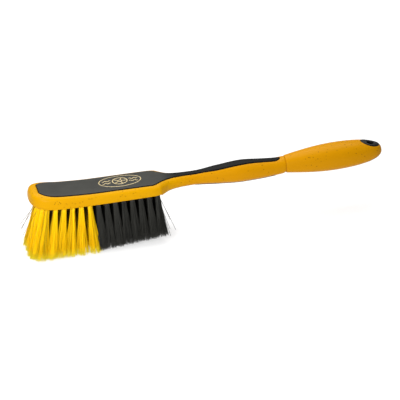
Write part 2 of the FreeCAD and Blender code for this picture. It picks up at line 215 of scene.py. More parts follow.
# %% Section of the rear grip
WIDEST, FIRST_HALF, FULL_HALF = 401, 11.2, 17.55
CLOSING_POWER, BLUNT_POWER = 2.1, 2.7
GRIP_CENTRE, GRIP_RISE = 5.4, 1.6
WIDTH_RATIO, GRIP_SQUARE = 1.08, 2.1


def grip_section(x):
    """A sine swell from the seam to the widest place, then a superellipse down to the end."""
    part = (x - SEAM) / (WIDEST - SEAM)
    swell = FIRST_HALF + (FULL_HALF - FIRST_HALF) * np.sin(part * np.pi / 2)
    along = np.clip((x - WIDEST) / (LENGTH - WIDEST), 0, 1)
    closing = FULL_HALF * (1 - along**CLOSING_POWER) ** (1 / BLUNT_POWER)
    half = np.where(x < WIDEST, swell, closing)
    centre = GRIP_CENTRE + GRIP_RISE * (x - SEAM) / (LENGTH - SEAM)
    return half * WIDTH_RATIO, centre, half, half, np.full_like(half, GRIP_SQUARE)


def height_at(section, x, y, side=1):
    """Height of the section's upper (1) or lower (-1) line at (x, y): centre plus or minus
    height (1 - |y / half| ** n) ** (1 / n)."""
    half, centre, above, below, square = section(x)
    tall = above if side > 0 else below
    inside = np.clip(1 - np.abs(y / np.maximum(half, 1e-6)) ** square, 0, 1)
    return centre + side * tall * inside ** (1 / square)


grip_tall = 2 * grip_section(np.array([WIDEST]))[2][0]
print("the grip is", round(grip_tall, 1), "mm tall where it is widest")

# %% [markdown]
# ## From a grid of points to a mesh
# A grid wraps round in one direction to make a tube, or in both to make a ring. Open ends are
# closed with a fan. Whole arrays go into Blender at once, which is fast.

# %% Meshes from arrays
SHARP = 35


def quads_of(rows, columns, wrap_rows=False, wrap_columns=False):
    """Corner numbers of the faces of a grid, one row of four for each face."""
    r = np.arange(rows if wrap_rows else rows - 1)
    c = np.arange(columns if wrap_columns else columns - 1)
    r, c = np.meshgrid(r, c, indexing="ij")
    r2, c2 = (r + 1) % rows, (c + 1) % columns
    corners = [r * columns + c, r * columns + c2, r2 * columns + c2, r2 * columns + c]
    return np.stack(corners, -1).reshape(-1, 4)


def mesh_object(name, points, faces, uv=None, sharp_angle=SHARP, uv_name="strand"):
    """A mesh object from points in brush millimetres and lists of equal-sided faces. `uv`
    is a pair of numbers for each point."""
    mesh = bpy.data.meshes.new(name)
    mesh.vertices.add(len(points))
    mesh.vertices.foreach_set("co", in_frame(points).astype(np.float32).ravel())
    corners = np.concatenate([np.asarray(f).ravel() for f in faces])
    sides = np.concatenate([np.full(len(f), len(f[0])) for f in faces])
    mesh.loops.add(len(corners))
    mesh.loops.foreach_set("vertex_index", corners.astype(np.int32))
    mesh.polygons.add(len(sides))
    starts = np.concatenate([[0], np.cumsum(sides)[:-1]])
    mesh.polygons.foreach_set("loop_start", starts.astype(np.int32))
    mesh.update(calc_edges=True)
    if uv is not None:
        layer = mesh.uv_layers.new(name=uv_name)
        layer.data.foreach_set("uv", uv[corners].astype(np.float32).ravel())
    mesh.validate()
    mesh.shade_smooth()
    if sharp_angle:
        mesh.set_sharp_from_angle(angle=math.radians(sharp_angle))
    made = bpy.data.objects.new(name, mesh)
    bpy.context.scene.collection.objects.link(made)
    return made


def tube_object(name, grid):
    """A closed tube from a (rows, columns, 3) grid that wraps round its columns."""
    rows, columns, _ = grid.shape
    points = np.concatenate([grid.reshape(-1, 3), grid[[0, -1]].mean(1)])
    ring = np.arange(columns)
    turned = np.roll(ring, -1)
    hub, last_hub = np.full(columns, rows * columns), np.full(columns, rows * columns + 1)
    last_ring = (rows - 1) * columns
    first = np.stack([hub, turned, ring], -1)
    last = np.stack([last_hub, last_ring + ring, last_ring + turned], -1)
    return mesh_object(name, points, [quads_of(rows, columns, wrap_columns=True), first, last])


def closed_rods(name, points, inside_out=False, uv=None, sharp_angle=SHARP):
    """Many closed rods as one mesh, from points (rods, layers, sides, 3)."""
    count, layers, sides, _ = points.shape
    base = (np.arange(count) * layers * sides)[:, None]
    walls = base[:, None] + quads_of(layers, sides, wrap_columns=True)
    ends = np.arange(sides)[::-1], (layers - 1) * sides + np.arange(sides)
    faces = [walls.reshape(-1, 4)] + [base + end for end in ends]
    if inside_out:
        faces = [part[:, ::-1] for part in faces]
    return mesh_object(name, points.reshape(-1, 3), faces, uv, sharp_angle)


print("a 4 by 3 grid has", len(quads_of(4, 3)), "faces")

# %% [markdown]
# ## Carving
# Recesses are cut as a mould's cores make them: a closed tool is subtracted from the piece. The
# Boolean modifier's result is kept as the piece's own mesh, so nothing live is left on it.


# %% Carving
def carve(piece, tool):
    """Cuts one closed mesh out of another and keeps the result as the piece's own mesh."""
    cut = piece.modifiers.new("carve", "BOOLEAN")
    cut.operation, cut.solver, cut.object = "DIFFERENCE", "MANIFOLD", tool
    graph = bpy.context.evaluated_depsgraph_get()
    carved = bpy.data.meshes.new_from_object(piece.evaluated_get(graph))
    piece.modifiers.remove(cut)
    old = piece.data
    piece.data = carved
    bpy.data.meshes.remove(old)
    carved.name = piece.name
    carved.shade_smooth()
    carved.set_sharp_from_angle(angle=math.radians(SHARP))
    bpy.data.objects.remove(tool)
    print(piece.name, "has", len(carved.polygons), "faces after carving")


# %% [markdown]
# ## Rounded sections on a grid
# A superellipse drawn by its polar angle keeps its points evenly spread, even at the corners. The
# head's flat underside is the same surface pressed up by a soft maximum, which rounds its edge.

# %% Section grids
EDGE_SOFTNESS = 0.8


def section_grid(section, places, columns, flatten=None, inset=None):
    """Points (rows, columns, 3): y = half cos(t) / r and z = centre + height sin(t) / r, where r
    is the superellipse norm of (cos t, sin t). `inset` shrinks each row, for rounded ends."""
    places = np.asarray(places, float)
    t = np.linspace(0, 2 * np.pi, columns, endpoint=False) + np.pi / columns
    half, centre, above, below, square = (v[:, None] for v in section(places))
    shrink = 0 if inset is None else np.asarray(inset, float)[:, None]
    c, s = np.cos(t)[None], np.sin(t)[None]
    reach = (np.abs(c) ** square + np.abs(s) ** square) ** (-1 / square)
    tall = np.where(s > 0, above, below)
    y = (half - shrink) * c * reach
    z = centre + (tall - shrink) * s * reach
    if flatten is not None:
        floor = flatten(places)[:, None]
        z = floor + (z - floor + np.sqrt((z - floor) ** 2 + EDGE_SOFTNESS**2)) / 2
    x = np.broadcast_to(places[:, None], y.shape)
    return np.stack([x, y, z], -1)


def crowd(first, last, count, power=2.0):
    """Places that crowd towards the first end."""
    return first + (last - first) * np.linspace(0, 1, count, endpoint=False) ** power


print("four places that crowd:", crowd(0, 16, 4))

# %% [markdown]
# ## The outline of the soft panel
# One long moulding: broad over the head, pinched over the throat, and swelling a little along the
# neck. Its outline also gives the recess it sits in.

# %% Panel and strip outlines
# place and half width
PANEL = [(36, 23.8), (60, 24.0), (100, 24.4), (156, 24.4), (163, 22.2), (171, 16.4), (179, 10.9)]
PANEL += [(190, 7.2), (208, 5.8), (224, 5.9), (246, 8.2), (272, 8.6), (300, 6.6), (320, 6.0)]
PANEL_START, PANEL_END = 12.2, 329.5
PANEL_TOE, PANEL_GAIN, PANEL_CORNER = 9, 14.8, 21
STRIP_START, STRIP_END, STRIP_HALF = 214, 324, 6.5
STRIP_NOSE, TAIL, BLUNT = 16, 9, 0.12


def panel_half(x):
    """Half width: the narrower of a quarter circle at the toe and the stations' curve, closed
    by a quarter circle at the handle's end."""
    toe = PANEL_TOE + PANEL_GAIN * quarter(x - PANEL_START, PANEL_CORNER, 2)
    return np.minimum(toe, eased(PANEL, x)) * np.maximum(quarter(PANEL_END - x, TAIL, 2), BLUNT)


def strip_half(x):
    """Half width: an even band with a quarter circle at each end."""
    ends = np.minimum(quarter(x - STRIP_START, STRIP_NOSE, 2), quarter(STRIP_END - x, TAIL, 2))
    return STRIP_HALF * np.maximum(ends, BLUNT)


print("panel", PANEL_END - PANEL_START, "mm long; strip", STRIP_END - STRIP_START, "mm long")

# %% [markdown]
# ## Slabs that follow the body
# The inlays and their recesses' tools are the same kind of thing: two sheets over one outline,
# joined round the edge. The body's own formula gives their heights, so they fit it exactly. The
# map called inland keeps the top sheet's distance to the edge, for the rubber's painted groove
# shade.


# %% Slabs
def plan_grid(places, half, columns):
    """Plan positions (x, y): y runs across as a sine, so that columns crowd at the edges."""
    across = np.sin(np.linspace(-np.pi / 2, np.pi / 2, columns))
    x = np.broadcast_to(places[:, None], (len(places), columns))
    return np.stack([x, half(places)[:, None] * across], -1)


def rim_numbers(rows, columns):
    """Point numbers round the edge of a grid, anticlockwise seen from above."""
    numbers = np.arange(rows * columns).reshape(rows, columns)
    return np.concatenate(
        [numbers[:-1, 0], numbers[-1, :-1], numbers[:0:-1, -1], numbers[0, :0:-1]]
    )


def rim_normals(rim):
    """Unit vectors pointing out of a closed plan outline."""
    ahead = np.roll(rim, -1, 0) - np.roll(rim, 1, 0)
    out = np.stack([ahead[:, 1], -ahead[:, 0]], -1)
    return out / np.linalg.norm(out, axis=1, keepdims=True)


def edge_distance(plan, rim):
    """Distance from every plan point to the outline's nearest stretch."""
    flat = plan.reshape(-1, 2)
    start, run = rim, np.roll(rim, -1, 0) - rim
    offset = flat[:, None] - start[None]
    along = np.clip((offset * run).sum(-1) / (run**2).sum(-1), 0, 1)
    gap = np.linalg.norm(offset - along[..., None] * run, axis=-1)
    return gap.min(1).reshape(plan.shape[:2])


def offset_sheet(side, rise):
    """A sheet that follows the body's surface at a fixed height above it."""
    return lambda x, y: height_at(body_section, x, y, side) + side * rise


def slab_object(name, plan, low, high, rings, side):
    """A closed slab between two sheets over one plan, joined by rings round its edge.

    `low` and `high` give a sheet's height over (x, y); each ring is (offset outwards, rise),
    where the rise is counted from the body's surface. `side` is -1 for a slab underneath."""
    rows, columns, _ = plan.shape
    rim = rim_numbers(rows, columns)
    edge = plan.reshape(-1, 2)[rim]
    out = rim_normals(edge)
    layers = [np.dstack([plan, low(plan[..., 0], plan[..., 1])]).reshape(-1, 3)]
    for offset, rise in rings:
        moved = edge + out * offset
        surface = height_at(body_section, moved[:, 0], moved[:, 1], side)
        layers.append(np.column_stack([moved, surface + side * rise]))
    layers.append(np.dstack([plan, high(plan[..., 0], plan[..., 1])]).reshape(-1, 3))
    total = rows * columns
    starts = [total + k * len(rim) for k in range(len(rings))]
    loops = [rim] + [s + np.arange(len(rim)) for s in starts]
    last_start = total + len(rings) * len(rim)
    loops.append(last_start + rim)
    sheet = quads_of(rows, columns)
    walls = [
        np.stack([a, np.roll(a, -1), np.roll(b, -1), b], -1) for a, b in zip(loops, loops[1:])
    ]
    faces = np.concatenate([sheet, last_start + sheet[:, ::-1]] + walls)
    if side < 0:
        faces = faces[:, ::-1]
    inland = np.zeros((last_start + total, 2))
    inland[last_start:, 0] = edge_distance(plan, edge).ravel()
    return mesh_object(name, np.concatenate(layers), [faces], inland, uv_name="inland")


print("the edge of a 4 by 3 grid has", len(rim_numbers(4, 3)), "points")

# %% [markdown]
# ## Where the tufts go
# The block is drilled in columns at one pitch, five holes to a column, with the toe's two corners
# pulled in. The columns fan along the brush and the rows splay, so that the tips cover more
# ground. Yellow tufts are trimmed flat, black ones on a slope that rises towards the handle.

# %% Holes
COLUMNS, YELLOW_COLUMNS, ROWS = 15, 7, 5
PITCH, ROW_PITCH, FIRST_COLUMN = 11, 12.0, 20.5
TOE_COLUMN, CORNER_BACK, CORNER_ROW = 12.5, 3, 19.5
ROW_SPLAY, CORNER_LEAN, CORNER_SPLAY = 4.8, -18.0, 7.5
TRIM_FIRST, TRIM_RISE = 2.5, 6
LEANS = [-17.0, -14.5, -13.5, -12.2, -9.6, -5.6, 0.5]
LEANS += [0.2, 0.4, 0.4, 0.5, 0.5, 0.6, 0.8, 1.0]

column = np.repeat(np.arange(COLUMNS), ROWS)
row = np.tile(np.arange(-2, 3), COLUMNS)
corner = (column == 0) & (np.abs(row) == 2)
in_line = FIRST_COLUMN + PITCH * (column - 1)
hole_x = np.where(column == 0, TOE_COLUMN, in_line) + CORNER_BACK * corner
hole_y = np.where(corner, CORNER_ROW * np.sign(row), ROW_PITCH * row)
mouths = np.stack([hole_x, hole_y, bow(hole_x)], -1)
lean = np.where(corner, CORNER_LEAN, np.array(LEANS)[column])
splay = np.where(corner, CORNER_SPLAY * np.sign(row), ROW_SPLAY * row)
directions = np.stack([lean, splay, -(BRISTLE_DROP + bow(hole_x))], -1)
directions /= np.linalg.norm(directions, axis=1, keepdims=True)
black_trims = TRIM_FIRST + TRIM_RISE * (column - YELLOW_COLUMNS) / 7
trims = np.where(column < YELLOW_COLUMNS, 0, black_trims)
reaches = (BRISTLE_DROP + mouths[:, 2] - trims) / -directions[:, 2]
print(len(mouths), "holes")
print("tufts stand out", reaches.min().round(1), "to", reaches.max().round(1), "mm")

# %% [markdown]
# ## Drill bits
# One closed rod along each hole's axis, wider where it leaves the block, as a countersink is. The
# rods' faces point inwards. The Boolean reads that as a hollow, so it keeps the skin over each
# mouth and leaves the hole's wall inside the block: the tufts grow through a closed skin.
# Outward faces would open the holes.

# %% Drill bits
BIT_SIDES = 28
# distance along the hole's axis from its mouth, and the bit's radius there
BIT_DEPTHS, BIT_RADII = np.array([-9.5, -0.35, 0.25, 3.0]), np.array([3.0, 3.0, 3.5, 5.8])


def across_frames(direction):
    """Two unit vectors square to each direction."""
    first = np.cross(direction, [0.0, 1.0, 0.0])
    first /= np.linalg.norm(first, axis=-1, keepdims=True)
    return first, np.cross(direction, first)


def rings_round(direction, sides):
    """Unit circles square to each direction: first cos(t) + second sin(t)."""
    turn = (np.arange(sides) * 2 * np.pi / sides)[:, None]
    first, second = across_frames(direction)
    return first[..., None, :] * np.cos(turn) + second[..., None, :] * np.sin(turn)


def drill_bits():
    """Closed rods through every mouth: mouth + direction depth + radius (circle round it)."""
    points = (
        mouths[:, None, None]
        + directions[:, None, None] * BIT_DEPTHS[:, None, None]
        + rings_round(directions, BIT_SIDES)[:, None] * BIT_RADII[:, None, None]
    )
    return closed_rods("drill_bits", points, inside_out=True)


print("bits", -BIT_DEPTHS[0], "mm deep and", 2 * BIT_RADII[0], "mm wide")

# %% [markdown]
# ## The moulded head and neck
# One injection moulding. Its skin is a closed tube of sections, which crowd where the shape turns
# fastest, with a small rounded lip where it meets the grip.

# %% Head and neck
END_ROUND = 0.9
rounding = np.linspace(0, np.pi / 2, 5)[1:]
head_places = np.concatenate(
    [
        crowd(0.02, 24, 30),
        np.arange(24, 160, 3.0),
        np.arange(160, 206, 1.0),
        np.arange(206, SEAM - END_ROUND, 2.5),
        SEAM - END_ROUND * (1 - np.sin(rounding)),
    ]
)
head_inset = np.zeros(len(head_places))
head_inset[-4:] = END_ROUND * (1 - np.cos(rounding))
skin = section_grid(body_section, head_places, 132, underside, head_inset)
head = tube_object("moulded_head_and_neck", skin)
print("the head and neck have", len(head_places), "sections")

# %% [markdown]
# ## Recesses
# The recesses are carved out of the block, as a mould's cores would leave them. The tool flares
# where it leaves the surface, so the yellow rim gets a softened edge. The bits come last.


# %% Recesses
def tail_rows(start, end):
    """Even rows, then rows that crowd towards the end."""
    return np.concatenate([np.arange(start, end - 10, 2.5), end - crowd(0, 10, 12)[::-1]])


def panel_rows():
    """Where the panel's grid has rows: crowded at both ends, close in the throat."""
    toe, middle = crowd(PANEL_START, 36, 22), np.arange(36, 158, 3.0)
    return np.concatenate([toe, middle, np.arange(158, 206, 1.5), tail_rows(206, PANEL_END)])


def strip_rows():
    """The same for the strip."""
    nose = STRIP_START + STRIP_NOSE
    return np.concatenate([crowd(STRIP_START, nose, 12), tail_rows(nose, STRIP_END)])


RECESS_DEPTH, CORE_RISE = 1.6, 4
RECESS = [(0.2, -RECESS_DEPTH), (0.2, -0.4), (0.27, -0.15), (0.5, 0.0), (1.1, 0.5)]
panel_plan = plan_grid(panel_rows(), panel_half, 31)
strip_plan = plan_grid(strip_rows(), strip_half, 17)
for name, plan, side in (("panel_core", panel_plan, 1), ("strip_core", strip_plan, -1)):
    low, high = offset_sheet(side, -RECESS_DEPTH), offset_sheet(side, CORE_RISE)
    carve(head, slab_object(name, plan, low, high, RECESS, side))
carve(head, drill_bits())

# %% [markdown]
# ## The soft panels
# Thin rubber mouldings. The top panel stands a quarter of a millimetre proud, the strip
# underneath more. Both roll over at the edge by a quarter circle and stop a little short of the
# recess, which leaves the fine dark line all round.

# %% Soft panels
ROLL_OVER = 0.8
INLAY_DEPTH, WALL_DEPTH = 1.5, 1.4
PANEL_GAP, PANEL_PROUD = 0.8, 0.25
STRIP_GAP, STRIP_PROUD = 0.3, 0.8


def rolled_sheet(plan, side, rise):
    """The top sheet: surface + rise - (r - sqrt(r squared - (r - d) squared)) near the edge."""
    rim = plan.reshape(-1, 2)[rim_numbers(*plan.shape[:2])]
    into = np.clip(ROLL_OVER - edge_distance(plan, rim), 0, ROLL_OVER)
    drop = ROLL_OVER - np.sqrt(ROLL_OVER**2 - into**2)
    return lambda x, y: height_at(body_section, x, y, side) + side * (rise - drop)


def inlay(name, rows, half, gap, side, rise, columns):
    """A panel that stops `gap` short of the outline on every side."""
    middle, length = (rows[0] + rows[-1]) / 2, rows[-1] - rows[0]
    places = middle + (rows - middle) * (1 - 2 * gap / length)
    plan = plan_grid(places, lambda x: half(x) - gap, columns)
    sheet = rolled_sheet(plan, side, rise)
    rings = [(0, -WALL_DEPTH), (0, rise - ROLL_OVER - 0.1)]
    return slab_object(name, plan, offset_sheet(side, -INLAY_DEPTH), sheet, rings, side)


panel = inlay("soft_top_panel", panel_rows(), panel_half, PANEL_GAP, 1, PANEL_PROUD, 31)
strip = inlay("soft_neck_strip", strip_rows(), strip_half, STRIP_GAP, -1, STRIP_PROUD, 17)
print("panel", len(panel.data.polygons), "faces; strip", len(strip.data.polygons))

# %% [markdown]
# ## The rear grip
# A second moulding, the same kind of sectioned tube, with a rounded lip so that the seam shows
# as a fine line. Its sections crowd towards the closing end by a sine.

# %% Rear grip
LIP = 0.6
lip = np.linspace(0, np.pi / 2, 6)
closing = WIDEST + (LENGTH - WIDEST) * np.sin(np.linspace(0, np.pi / 2, 48))[1:-1]
grip_places = np.concatenate(
    [SEAM + LIP * (1 - np.cos(lip)), np.arange(SEAM + 3.5, WIDEST, 3.0), closing]
)
grip_inset = np.zeros(len(grip_places))
grip_inset[:6] = LIP * (1 - np.sin(lip))
grip_skin = section_grid(grip_section, grip_places, 96, None, grip_inset)
grip = tube_object("moulded_rear_grip", grip_skin)
print("the grip has", len(grip_places), "sections")

# %% [markdown]
# ## The hang eyelet
# A black ring lines the hole at the end of the grip. Its profile, counted from the oval's edge or
# as a share of the way from the hole to the oval, is carried once round and closed on itself.

# %% Hang eyelet
EYELET, OVAL_LONG, OVAL_WIDE, HANG_RADIUS = 448.0, 12.2, 9.3, 4.5
SEAT_DEPTH, TUBE_RADIUS = 3.2, 6.5


def oval_radius(turn, grow=0.0):
    """Polar radius of an ellipse, grown by a little all round."""
    return ((np.cos(turn) / OVAL_LONG) ** 2 + (np.sin(turn) / OVAL_WIDE) ** 2) ** -0.5 + grow


def round_the_eyelet(turn, radius):
    """Plan position (x, y) at a polar angle and radius from the eyelet's middle."""
    return EYELET + radius * np.cos(turn), radius * np.sin(turn)


turn = np.linspace(0, 2 * np.pi, 72, endpoint=False)


def eyelet_loop(radius, rise, side):
    """A loop on the grip's upper (1) or lower (-1) surface, raised by its rise."""
    x, y = round_the_eyelet(turn, radius)
    return np.stack([x, y, height_at(grip_section, x, y, side) + side * rise], -1)


oval, hole = oval_radius(turn), np.full_like(turn, HANG_RADIUS)
# (distance from the oval, rise), then (share of the way from the hole to the oval, rise)
RIM = [(0.0, -SEAT_DEPTH), (0.0, -0.45), (-0.25, -0.05), (-0.8, 0.2), (-1.5, 0.1)]
DISH = [(0.55, -0.45), (0.35, -0.95), (0.15, -1.35), (0.05, -1.65), (0.0, -2.4)]
profile = [(oval + out, rise) for out, rise in RIM]
profile += [(hole + (oval - hole) * share, rise) for share, rise in DISH]
loops = [eyelet_loop(*entry, 1) for entry in profile]
loops += [eyelet_loop(*entry, -1) for entry in profile[::-1]]
tube = np.full_like(turn, TUBE_RADIUS)
loops += [eyelet_loop(tube, -SEAT_DEPTH, side) for side in (-1, 1)]
ring = np.stack(loops)
eyelet_faces = quads_of(len(ring), len(turn), wrap_rows=True, wrap_columns=True)
eyelet = mesh_object("hang_eyelet_ring", ring.reshape(-1, 3), [eyelet_faces])
print("the eyelet has", len(eyelet.data.polygons), "faces")

# %% [markdown]
# ## The eyelet's seat
# The grip has an oval seat on each face and a bore between them. A seat's tool is a stack of
# ovals a tenth of a millimetre larger than the eyelet, so that the two don't touch.

# %% Eyelet seat
for side in (1, -1):
    layers = []
    for grow, rise in ((0.12, -SEAT_DEPTH), (0.12, -0.3), (0.5, 0.15), (1.5, 1.5), (1.5, 8.0)):
        x, y = round_the_eyelet(turn, oval_radius(turn, grow))
        z = height_at(grip_section, np.minimum(x, LENGTH - 0.4), y, side) + side * rise
        layers.append(np.stack([x, y, z], -1))
    stack = np.stack(layers if side > 0 else layers[::-1])
    carve(grip, tube_object(f"seat_core_{side}", stack))
x, y = round_the_eyelet(turn, tube)
bore = np.stack([np.stack([x, y, np.full_like(x, z)], -1) for z in (-30.0, 50.0)])
carve(grip, tube_object("bore_core", bore))

# %% [markdown]
# ## Bristles
# Hair particles would have no surface to export, so each strand is a small closed mesh. First
# comes its place in the bundle: the golden angle spreads strands evenly, as seeds sit in a
# sunflower, and each is drawn towards the nearest of a few clump centres.

# %% Places in the bundle
GOLDEN = math.pi * (3 - math.sqrt(5))
STRANDS, STEPS, CLUMPS, CLUMP_SHARE = 280, 7, 16, 0.65
rng = np.random.default_rng(7)


def round_disc(angle, out):
    """Points of the unit disc: out (cos angle, sin angle)."""
    return np.stack([out * np.cos(angle), out * np.sin(angle)], -1)


def bundle_places(count):
    """For `count` tufts: each strand's place on the unit disc, its pull towards a clump, its
    shade, and how much its clump is cut short.

    strand k sits at angle k times the golden angle, radius sqrt((k + 1/2) / strands)."""
    total = count * STRANDS
    tuft = np.repeat(np.arange(count), STRANDS)
    k = np.tile(np.arange(STRANDS), count)
    flat = round_disc(k * GOLDEN + rng.uniform(0, 0.6, total), np.sqrt((k + 0.5) / STRANDS))
    clump_angle = rng.uniform(0, 2 * np.pi, (count, CLUMPS))
    centres = round_disc(clump_angle, np.sqrt(rng.uniform(0.05, 0.9, (count, CLUMPS))))[tuft]
    nearest = np.linalg.norm(centres - flat[:, None], axis=-1).argmin(1)
    pull = centres[np.arange(total), nearest] - flat
    clump_shade = rng.uniform(0, 1, (count, CLUMPS))[tuft, nearest]
    clump_cut = rng.normal(0, 0.6, (count, CLUMPS))[tuft, nearest]
    shade = CLUMP_SHARE * clump_shade + (1 - CLUMP_SHARE) * rng.uniform(0, 1, total)
    return flat, pull, shade, clump_cut


print(STRANDS, "strands in a tuft,", CLUMPS, "clumps")

# %% [markdown]
# ## The line of a strand
# A strand follows its hole, and its distance from the tuft's axis grows towards the tip. Each has
# its own length, bend and ripple. Lengths are only cut short, so no tip passes the plane that
# the brush stands on. Inner rows' roots are painted dark: painted shade, for the shadow deep in a
# denser brush.

# %% Strand lines
ROOT_RADIUS, ROOT_DEPTH = 2.75, 5.0
CUT_NOISE, BEND_NOISE, RIPPLE = 0.7, 0.95, 0.18
CLING, FLARE_POWER = 0.28, 1.15
TIP_CLEARANCE, TIP_TAPER = 0.35, 0.6
# where the painted root shade has faded into the middle colour, and how far inner rows' roots are
# pushed back into that painted shade
ROOT_SHADE_LEVEL, DEPTH_OF_SHADE = 0.35, 1.1


def strand_lengths(which, flat, pull, clump_cut, tip_radius, first, second):
    """Reach of the tuft, made longer or shorter so that a slanted tuft still ends on its
    trimming plane, less a random cut."""
    spread = (flat + 0.5 * pull) * tip_radius
    tilt = spread[:, 0] * first[:, 2] + spread[:, 1] * second[:, 2]
    short = np.abs(clump_cut + rng.normal(0, CUT_NOISE, len(which)))
    return reaches[which] + tilt / -directions[which][:, 2] - short


def strand_grid(tufts, tip_radius, thickness):
    """Centre lines (strands, steps, 3) with their radius, shade and place along.

    point(s) = mouth + direction (s (length + depth) - depth) + flare(s) (place + cling pull)
    + bend f squared + ripple f, where f runs from 0 at the mouth to 1 at the tip, and the flare
    from the root's radius to the tip's."""
    which = np.repeat(tufts, STRANDS)
    first, second = across_frames(directions[which])
    flat, pull, shade, clump_cut = bundle_places(len(tufts))
    length = strand_lengths(which, flat, pull, clump_cut, tip_radius, first, second)[:, None]
    along = -ROOT_DEPTH + (length + ROOT_DEPTH) * np.linspace(0, 1, STEPS)
    fan = np.clip(along / length, 0, 1)
    flare = ROOT_RADIUS + (tip_radius - ROOT_RADIUS) * fan**FLARE_POWER
    offset = (flat[:, None] + pull[:, None] * (CLING * fan)[..., None]) * flare[..., None]
    bend = rng.normal(0, BEND_NOISE, (len(which), 1, 2)) * (fan**2)[..., None]
    phase = rng.uniform(0, 2 * np.pi, (len(which), 1))
    ripple = RIPPLE * np.sin(phase + 7 * fan) * fan
    offset = offset + bend + ripple[..., None]
    centre = (
        mouths[which][:, None]
        + directions[which][:, None] * along[..., None]
        + first[:, None] * offset[..., :1]
        + second[:, None] * offset[..., 1:]
    )
    centre[..., 2] = np.maximum(centre[..., 2], TIP_CLEARANCE - BRISTLE_DROP)
    radius = thickness * (1 - 0.1 * fan)
    radius[:, -1] *= TIP_TAPER
    return centre, radius, shade, shaded_place(which, flat, fan)


def shaded_place(which, flat, fan):
    """0 where a strand is deep in the brush, 1 at its tip; inner rows' roots are pushed towards 0
    as painted shade, and outer rows start where the painted root shade ends.
    """
    inner = (np.abs(row[which]) < 2) & (column[which] > 0)
    deep = inner * (0.82 - 0.12 * flat[:, 1] * np.sign(row[which]))
    # painted shade: inner rows are darkened near their roots, for the shadow deep in the brush
    painted_depth_shade = DEPTH_OF_SHADE * deep[:, None] * (1 - fan)
    return np.clip(ROOT_SHADE_LEVEL + (1 - ROOT_SHADE_LEVEL) * fan - painted_depth_shade, 0, 1)


print("strands start", ROOT_DEPTH, "mm down their holes")

# %% [markdown]
# ## The surface of a strand
# Three sides are enough for a filament a quarter of a millimetre in radius. The map called strand
# carries the shade and the place along.

# %% Strand surfaces
SIDES = 3


def strand_mesh(name, centre, radius, shade, fan):
    """Closed rods of three sides round the centre lines."""
    ahead = np.gradient(centre, axis=1)
    ahead /= np.linalg.norm(ahead, axis=-1, keepdims=True)
    points = centre[:, :, None] + rings_round(ahead, SIDES) * radius[:, :, None, None]
    shades = np.broadcast_to(shade[:, None, None], points.shape[:3])
    places = np.broadcast_to(fan[:, :, None], points.shape[:3])
    uv = np.stack([shades, places], -1).reshape(-1, 2)
    return closed_rods(name, points, uv=uv, sharp_angle=None)


print("a strand has", SIDES * (STEPS - 1) + 2, "faces")

# %% [markdown]
# ## Tufts, one column at a time
# The real brush is filled hole by hole. One piece holds a column's five tufts, as the measured
# model does, which keeps each piece small enough to export whole.

# %% Tufts
TOE_TIP, YELLOW_TIP, BLACK_TIP = 5.8, 8.4, 7.2
YELLOW_THICKNESS, BLACK_THICKNESS = 0.24, 0.23

tuft_pieces = []
for number in range(COLUMNS):
    yellow = number < YELLOW_COLUMNS
    colour = "yellow" if yellow else "black"
    tip_radius = (TOE_TIP if number == 0 else YELLOW_TIP) if yellow else BLACK_TIP
    tufts = np.flatnonzero(column == number)
    lines = strand_grid(tufts, tip_radius, YELLOW_THICKNESS if yellow else BLACK_THICKNESS)
    piece = strand_mesh(f"{colour}_bristles_{number + 1:02d}", *lines)
    tuft_pieces.append((piece, f"{colour}_tufts_{number + 1:02d}", f"{colour}_filament"))
faces = sum(len(p.data.polygons) for p, _, _ in tuft_pieces)
print(len(tuft_pieces), "columns of bristles,", faces, "faces")

# %% [markdown]
# ## Stray bristles
# A few filaments escape the trim and stick out at the ends: the same strands, each carried to a
# place of its own with a slight sag, and dull from end to end.

# %% Stray bristles
STRAY_RADIUS, STRAY_SHADE, STRAY_PLACE = 0.30, 0.5, 0.04


def stray_lines(strays):
    """Centre line: mouth + reach s + (0, 0, sag) s (1 - s), for rows of (tuft, reach, sag)."""
    s = np.linspace(0, 1, STEPS)
    which = np.array([tuft for tuft, _, _ in strays])
    reach = np.array([vector for _, vector, _ in strays], float)
    sag = np.array([[0, 0, drop] for _, _, drop in strays], float)
    centre = mouths[which][:, None] + reach[:, None] * s[:, None]
    centre = centre + sag[:, None] * (s * (1 - s))[:, None]
    radius = np.full(centre.shape[:2], STRAY_RADIUS)
    return centre, radius, np.full(len(which), STRAY_SHADE), np.full(radius.shape, STRAY_PLACE)


# number of the hole, reach from its mouth, and sag
TOE_STRAYS = [(2, (-26, 0, -26.5), 3.0), (2, (-26, -4, -31), 3.0)]
TOE_STRAYS += [(1, (-26, -4, -36), 2.0), (3, (-23, 4, -41), 2.0)]
HEEL_STRAYS = [(70, (20, 4, -55), 6.0), (70, (12, -1, -60), 2.0)]
HEEL_STRAYS += [(71, (14, 1, -57), -3.0), (72, (17, 2, -50), 4.0)]
toe_strays = strand_mesh("stray_yellow_bristles", *stray_lines(TOE_STRAYS))
heel_strays = strand_mesh("stray_black_bristles", *stray_lines(HEEL_STRAYS))
print(len(TOE_STRAYS) + len(HEEL_STRAYS), "stray bristles")

# %% [markdown]
# ## The printed badge
# A plain picture: an oval ring round a wheel between waves of water. Every stroke is a flattened
# bead on the panel's top, so the print has a slight body of its own.

# %% Beads
BADGE = np.array([119.9, 0.6])
BADGE_RISE, BEAD_HALF_HEIGHT = 0.32, 0.09


